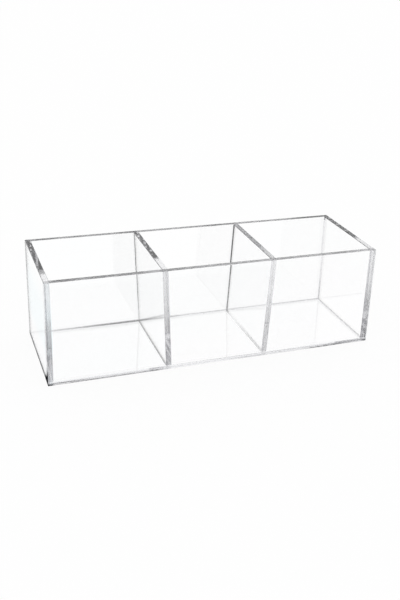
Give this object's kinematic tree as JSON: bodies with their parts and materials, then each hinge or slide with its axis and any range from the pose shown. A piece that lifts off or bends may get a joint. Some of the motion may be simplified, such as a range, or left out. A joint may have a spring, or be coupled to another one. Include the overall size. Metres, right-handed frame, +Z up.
{
  "type": "vanity organizer",
  "caption": "Clear open-topped rectangular tray of cemented acrylic sheet, with leaning dividers that part it into square compartments for brushes and cotton pads.",
  "frame": {"origin": "middle of the underside, on the surface that the tray stands on", "axes": "+X along the tray to the right as seen from the front, +Y from front to back, +Z up"},
  "size_m": [0.305, 0.103, 0.0945],
  "materials": {
    "clear_acrylic": "clear cast sheet, polished faces and edges"
  },
  "bodies": {
    "root": {"base_panel": "clear_acrylic", "front_panel": "clear_acrylic", "back_panel": "clear_acrylic", "left_end_panel": "clear_acrylic", "right_end_panel": "clear_acrylic", "left_divider": "clear_acrylic", "right_divider": "clear_acrylic"}
  },
  "joints": []
}
